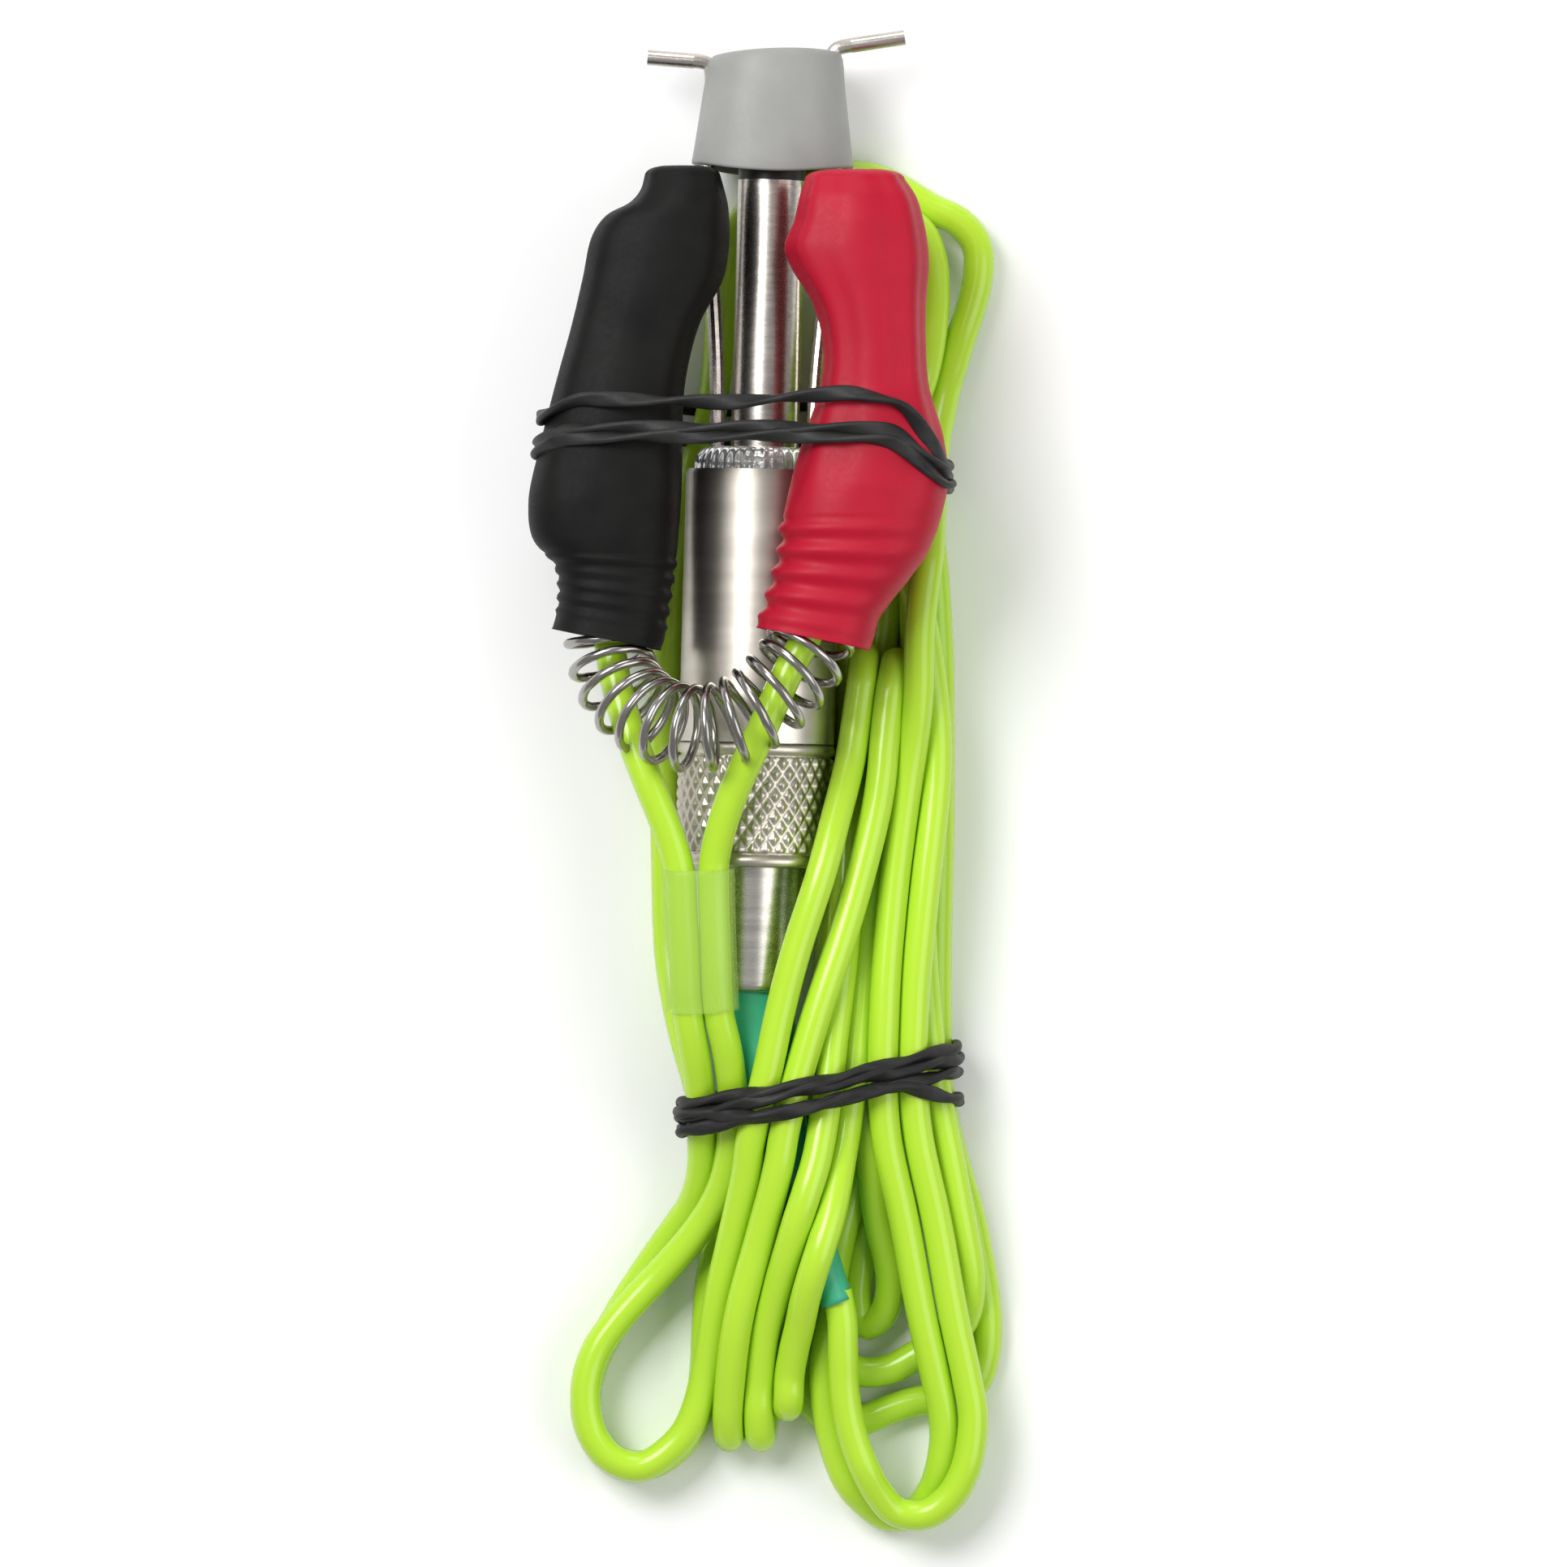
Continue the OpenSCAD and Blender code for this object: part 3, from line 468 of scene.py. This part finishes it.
def make_collar(materials):
    def ribs(a):
        return 0.16 * max(0.0, math.cos(44 * a)) - 0.08
    steps = [(4.6, 24.8, 0), (8.0, 24.8, 0), (8.0, 19.2, 0), (9.0, 19.2, 0), (9.0, 24, 0), (9.0, 25.3, 1),
             (9.0, 26.0, 1), (8.85, 26.6, 1), (8.6, 27.2, 1), (8.2, 27.8, 1), (7.5, 28.2, 0),
             (6.4, 28.3, 0), (4.6, 28.3, 0)]
    rings = [ring_of(r, y, 264, ribs if ribbed else None) for r, y, ribbed in steps]
    collar = loft("ribbed_lens", rings, materials["clear"], closed=True)
    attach(collar, "root")
    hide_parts("lens_collar")


def make_cap(materials):
    """A thin soft cap: its rim curves outwards and its far corners are drawn over the bent wires."""
    outer = [(64.9, 10.45, 9.9), (65.2, 10.5, 9.95), (66.5, 10.3, 9.85), (69, 9.95, 9.6), (72, 9.55, 9.2),
             (75, 9.15, 8.9), (77.2, 8.9, 8.6), (78.3, 8.75, 8.3), (78.9, 8.5, 8.0), (79.15, 8.1, 7.5)]
    rings = []
    for y, a, b in outer:
        rings.append([on_probe(x, y - 1.1 * (1 - (x / 10.5) ** 2) * (y < 68)
                               + (0.06 * x + 0.6 * (1 - (x / 9) ** 2)) * (y > 76), z)
                      for x, z in superellipse(-a, a, 0, b, 2.4, 80)])
    rings += [[on_probe(x * f, 79.3 + 0.06 * x * f + 0.6 * (1 - f * f), z * f)
               for x, z in superellipse(-8.5, 8.5, 0, 7.5, 2.6, 80)]
              for f in (0.9, 0.5, 0.04, 0.02)]
    rings += [[on_probe(x * f, 78.5, z * f) for x, z in superellipse(-7.1, 7.1, 0, 6.2, 2.4, 80)]
              for f in (0.02, 0.5, 0.95)]
    for y, a, b in reversed(outer[:-2]):
        rings.append([on_probe(x, y - 1.1 * (1 - (x / 10.5) ** 2) * (y < 68), z)
                      for x, z in superellipse(-a + 0.9, a - 0.9, 0, b - 0.9, 2.4, 80)])
    cap = loft("soft_tip_cap", rings, materials["grey"], closed=True)
    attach(cap, "root")
    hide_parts("tip_cap")


def make_relief(materials):
    path = smooth(RELIEF, 0.8)
    ahead = frames(path)
    share = np.linspace(0, 1, len(path))
    lengths = np.concatenate([[0], np.cumsum(np.linalg.norm(np.diff(np.array(RELIEF), axis=0), axis=1))])
    knots = lengths / lengths[-1]
    rings = []
    for wall in (0.0, 0.5):
        side = []
        for at, t, s in zip(path, ahead, share):
            a = np.interp(s, knots, RELIEF_WIDTH) - wall
            b = np.interp(s, knots, RELIEF_HEIGHT) - wall
            waist = 0.5 * s                 # the shrunk tube draws in between the two leads
            across = np.cross(t, (0, 0, 1))
            across /= np.linalg.norm(across)
            up = np.cross(across, t)
            ring = []
            for k in range(48):
                angle = 2 * math.pi * k / 48
                pinch = 1 - waist * 0.35 * math.cos(angle) ** 8
                wrinkle = 0.06 * math.sin(9 * s * math.pi + 3 * angle)
                ring.append(at + across * (a * pinch + wrinkle) * math.cos(angle)
                            + up * (b + wrinkle) * math.sin(angle))
            side.append(ring)
        rings += side if wall == 0 else side[::-1]
    shrink = loft("shrink_tube", rings, materials["teal"], closed=True)
    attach(shrink, "root")
    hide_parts("heat_shrink")


# ---- Boots ----

# Sections from mouth to tip: [y, left, right, middle above the pivot, half height]
BLACK_SECTIONS = [(3.4, -24.4, -10.4, 0.6, 6.9), (4.4, -24.1, -10, 0.6, 6.9), (6, -23.8, -9.7, 0.5, 6.9),
    (12, -24, -8.7, 0.2, 7.2), (16, -26.9, -8.2, 0, 8), (21, -27.5, -7.8, 0, 8.3), (28, -26, -7.7, 0, 8.2),
    (36, -24, -7.4, 0, 7.6), (44, -21.8, -5.5, 0, 7.2), (50, -20.4, -2.4, 0, 7.2),
    (55.4, -19.2, -1.6, 0, 7), (58, -17.4, -1.7, 0, 6.8), (59.8, -14.2, -1.9, 0, 6.5),
    (61.4, -12.9, -2.3, 0, 6), (63.2, -12.4, -2.8, 0, 5)]
RED_SECTIONS = [(3.4, 2, 16.6, -0.1, 6.9), (4.6, 2.4, 17, -0.1, 6.8), (7, 3.1, 17.8, -0.1, 6.9),
    (10.5, 4, 20.6, 0, 7.2), (14.6, 4.9, 23.9, 0, 8), (18, 5.2, 25.4, 0, 8.2), (23, 6.4, 26.4, 0, 8.3),
    (29, 8.2, 25.8, 0, 7.8), (35.8, 10.4, 23.9, 0, 7), (41, 10.7, 23.5, 0, 7), (46.3, 9.4, 23.5, 0, 7.1),
    (51, 6.6, 23.9, 0, 7.2), (53.6, 5.8, 23.8, 0, 7.2), (57, 7, 23.2, 0, 7),
    (60, 7.7, 22.3, 0, 6.5), (62.3, 8.4, 20.8, 0, 5.4)]


def boot_rings(sections, pivot_z, ribs, facet, inset, power, one_sided):
    rows = smooth([(y, left, right) for y, left, right, _, _ in sections], 0.55)
    keys = [s[0] for s in sections]
    rings = []
    for y, left, right in rows:
        middle = pivot_z + np.interp(y, keys, [s[3] for s in sections])
        half = np.interp(y, keys, [s[4] for s in sections])
        low, high, pitch, height = ribs
        swell = height * math.sin(2 * math.pi * (y - low) / pitch) if low < y < high else 0.0
        slope = 0.2 * max(0.0, 1 - (y - 3.4) / 14)     # the mouth is cut askew
        ring = []
        for k, (x, z) in enumerate(superellipse(left, right, middle, half, power, 96)):
            angle = 2 * math.pi * k / 96
            fold = facet * math.cos(8 * angle) * min(1.0, max(0.0, (y - 20) / 6))
            fade = 0.55 - 0.45 * math.cos(angle) if one_sided else 0.6 + 0.4 * abs(math.cos(angle))
            grow = swell * fade + fold - inset
            centre = (left + right) / 2
            out = np.array([x - centre, z - middle])
            out = out / (np.linalg.norm(out) + 1e-9)
            ring.append((x + out[0] * grow, y - slope * (x - centre), z + out[1] * grow))
        rings.append(ring)
    return rings


def close_tip(rings, height, steps=6):
    """Rounds the end of a boot in towards a slot that the jaws open through."""
    edge = np.array(rings[-1])
    centre = edge.mean(0)
    out = []
    for step in range(1, steps + 1):
        a = math.pi / 2 * step / steps
        ring = centre + (edge - centre) * (1 - 0.5 * (1 - math.cos(a)))
        ring[:, 1] += height * math.sin(a)
        out.append([tuple(p) for p in ring])
    return rings + out


def make_boot(name, sections, pivot_z, ribs, facet, material, one_sided=False):
    outer = close_tip(boot_rings(sections, pivot_z, ribs, facet, 0, 2.6, one_sided), 1.2)
    inner = close_tip(boot_rings(sections, pivot_z, ribs, facet, 1.1, 2.6, one_sided), 0.5)
    lip = np.array(outer[0])
    lip_out = lip.mean(0) + (lip - lip.mean(0)) * 1.015
    rings = [[tuple(p) for p in lip_out - (0, 0.15, 0)]] + outer + inner[::-1]
    boot = loft(name + "_clip_boot", rings, material, closed=True)
    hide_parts(name + "_boot")
    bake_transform(boot)


def make_boots(materials):
    make_boot("black", BLACK_SECTIONS, BLACK_Z, (5.4, 14.2, 1.9, 0.24), 0.1,
              materials["black_boot"])
    make_boot("red", RED_SECTIONS, RED_Z, (4.2, 18.5, 3.1, 0.42), 0.22,
              materials["red_boot"],
              one_sided=True)


# ---- Coil spring, sleeve and bands ----

BRIDGE_ROUTE = [(-17.4, 9.4, 18.6), (-17.3, 4, 18.8), (-16.8, 0.5, 19.6), (-15.4, -3, 21.6),
    (-12.6, -6, 24.2), (-9, -7.8, 26.8), (-5.5, -8.3, 28.4), (-1.8, -7.6, 29.2), (2, -5.6, 29.4),
    (5.4, -2.4, 29), (8, 1, 28), (9.4, 4.4, 27.2), (10.2, 9.6, 26.9)]
COIL_R = 5.2
COIL_TURNS = 17
SLEEVE_ROUTE = [(-5.6, -26.3, 22.3), (-5.5, -32, 21.7), (-5.3, -38, 20.8), (-5, -44.5, 19.4)]


def make_bridge_spring(materials):
    path = smooth(BRIDGE_ROUTE, 0.05)
    ahead = frames(path)
    angle = np.linspace(0, 2 * math.pi * COIL_TURNS, len(path))
    side = np.cross(ahead, (0, 0, 1))
    side /= np.linalg.norm(side, axis=1)[:, None]
    up = np.cross(side, ahead)
    wound = path + COIL_R * (np.cos(angle)[:, None] * side + np.sin(angle)[:, None] * up)
    spring = bevelled_curve("bridge_coil", wound, WIRE_R, materials["wire"], 3)
    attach(spring, "root")
    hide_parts("bridge_spring")


def make_sleeve(materials):
    """A soft tube round the two leads: an ellipse with a shallow waist between them."""
    path = smooth(SLEEVE_ROUTE, 0.6)
    ahead = frames(path)
    rings = []
    for wall in (0.0, 0.35):
        side = []
        for at, t in zip(path, ahead):
            across = np.cross(t, (0, 0, 1))
            across /= np.linalg.norm(across)
            up = np.cross(across, t)
            side.append([at + across * (4.75 - wall) * math.cos(a)
                         + up * (2.75 - wall - 0.25 * math.sin(a) ** 8) * math.sin(a)
                         for a in np.linspace(0, 2 * math.pi, 64, endpoint=False)])
        rings += side if wall == 0 else side[::-1]
    sleeve = loft("lead_sleeve", rings, materials["sleeve"], closed=True)
    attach(sleeve, "root")
    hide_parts("clear_sleeve")


def hull(points):
    """The convex hull of [x, z] points, anticlockwise."""
    points = sorted(set(map(tuple, np.round(points, 3))))
    halves = []
    for row in (points, points[::-1]):
        half = []
        for p in row:
            while len(half) > 1 and ((half[-1][0] - half[-2][0]) * (p[1] - half[-2][1])
                                     - (half[-1][1] - half[-2][1]) * (p[0] - half[-2][0])) <= 0:
                half.pop()
            half.append(p)
        halves += half[:-1]
    return halves


def wrap(sections, grow, floor):
    """A taut loop round circles and outlines, given as [x, z, radius], that stays above the floor."""
    around = np.linspace(0, 2 * math.pi, 40, endpoint=False)
    spots = [(x + (r + grow) * math.cos(a), max(z + (r + grow) * math.sin(a), floor))
             for x, z, r in sections for a in around]
    loop = np.array([(x, 0, z) for x, z in hull(spots)])
    loop = resample(np.vstack([loop, loop[:1]]), 0.7)[:-1]
    for _ in range(3):
        loop = (np.roll(loop, 1, 0) + 2 * loop + np.roll(loop, -1, 0)) / 4
    loop[:, 2] = np.maximum(loop[:, 2], floor)
    return loop


def strand(name, loop, run, twists, phase, wide, thick, material):
    """A twisted flat strand round a loop; run gives its Y at points across the bundle."""
    across, along = zip(*run)
    path = loop.copy()
    path[:, 1] = np.interp(path[:, 0], across, along)
    for _ in range(6):
        path[:, 1] = (np.roll(path[:, 1], 1) + 2 * path[:, 1] + np.roll(path[:, 1], -1)) / 4
    ahead = frames(path, closed=True)
    rings = []
    for i, (at, t) in enumerate(zip(path, ahead)):
        out = np.cross((0, 1, 0), t)
        out /= np.linalg.norm(out)
        flat = np.cross(t, out)
        turn = phase + 2 * math.pi * twists * i / len(path)
        first = math.cos(turn) * flat + math.sin(turn) * out
        second = -math.sin(turn) * flat + math.cos(turn) * out
        rings.append([at + first * wide * math.copysign(abs(math.cos(a)) ** 0.75, math.cos(a))
                      + second * thick * math.copysign(abs(math.sin(a)) ** 0.75, math.sin(a))
                      for a in np.linspace(0, 2 * math.pi, 16, endpoint=False)])
    piece = loft(name, rings, material, closed=True)
    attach(piece, "root")
    return piece


def crossings(leads, line):
    """Where the leads pass a line across the bundle, as [x, z, radius]."""
    across, along = zip(*line)
    found = []
    for path in leads:
        off = path[:, 1] - np.interp(path[:, 0], across, along)
        found += [(p[0], p[2], LEAD_R) for p, o in zip(path, off) if abs(o) < 2.5]
    return found


def boot_outline(sections, pivot_z, y):
    keys = [s[0] for s in sections]
    left, right, middle, half = (np.interp(y, keys, [s[k] for s in sections]) for k in (1, 2, 3, 4))
    return [(x, z, 0.2) for x, z in superellipse(left, right, pivot_z + middle, half, 2.45, 40)]


def make_bands(materials, leads):
    low_line = [(-9, -59), (28, -52)]
    held = crossings(leads, low_line) + [(3.4, 10.5, 4.9)]
    runs = [(0.55, [(-9, -57), (10, -53.9), (29, -49.3)]), (0.75, [(-9, -58.8), (8, -54.8), (29, -50.8)]),
            (0.6, [(-9, -60.6), (6, -57.6), (29, -52.4)]),
            (0.95, [(-9, -58), (4, -58.2), (20, -54.2), (29, -56.6)])]
    for k, (grow, run) in enumerate(runs):
        loop = wrap(held, grow - 0.2, 0.75)
        strand(f"lower_band_{k + 1}", loop, run, 5, 0.9 * k, 1.0, 0.6,
                             materials["rubber"])
    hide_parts("band_lower")
    held = [(x, z, r - 1.1) for x, z, r in crossings(leads, [(-28, 29), (16, 30), (28, 24)])]
    held += boot_outline(BLACK_SECTIONS, BLACK_Z, 30) + boot_outline(RED_SECTIONS, RED_Z, 28)
    runs = [(0.5, [(-27, 31.4), (-21, 34.2), (-1.4, 33.5), (14, 34.7), (21, 33.2), (26, 25.6)]),
            (0.55, [(-27, 28), (-22.5, 30.4), (9, 30.2), (20, 29.8), (26, 24.4)]),
            (0.8, [(-27, 27), (-22.5, 29.2), (9, 29.2), (20, 28.4), (26, 23)])]
    for k, (grow, run) in enumerate(runs):
        loop = wrap(held, grow - 0.2, 0.75)
        strand(f"upper_band_{k + 1}", loop, run, 5, 1.1 * k, 1.05, 0.5,
                             materials["rubber"])
    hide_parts("band_upper")


# ---- Everything else keeps its CAD shape ----

def paint_cad(materials):
    paint(materials["nickel"], "barrel", "black_fixed_jaw", "black_moving_jaw", "red_fixed_jaw",
          "red_moving_jaw")
    paint(materials["steel"], "nose_tube", "hook_left", "hook_right", "probe_needle",
          "black_pivot_pin", "red_pivot_pin", "black_wire_screw", "red_wire_screw")
    paint(materials["wire"], "black_jaw_spring", "red_jaw_spring", "contact_spring")
    paint(materials["brushed"], "tail_tube")
    paint(materials["brass"], "bulb_base", "contact_plunger", "terminal_disc")
    paint(materials["glass"], "bulb_glass")
    paint(materials["ivory"], "bulb_socket", "needle_insulator", "thrust_washer")
    paint(materials["plastic"], "nose_bush", "cable_clamp")
    paint(materials["lime"], "lead_stubs")


def make_floor():
    mesh = bpy.data.meshes.new("floor")
    edge = 3.0
    mesh.from_pydata([(-edge, -edge, 0), (edge, -edge, 0), (edge, edge, 0), (-edge, edge, 0)], [],
                     [(0, 1, 2, 3)])
    mesh.materials.append(finish("floor", "floor", (0.9, 0.9, 0.9), (0.93, 0.93, 0.93), 0.7, 40,
                                 bump=0.0))
    floor = bpy.data.objects.new("floor", mesh)
    floor.location = (0, 0, -0.0002)
    bpy.context.scene.collection.objects.link(floor)


look_down()
light_studio()
materials = make_materials()
leads = make_leads(materials)
make_nut(materials)
make_collar(materials)
make_cap(materials)
make_relief(materials)
make_boots(materials)
make_bridge_spring(materials)
make_sleeve(materials)
make_bands(materials, leads)
paint_cad(materials)
make_floor()
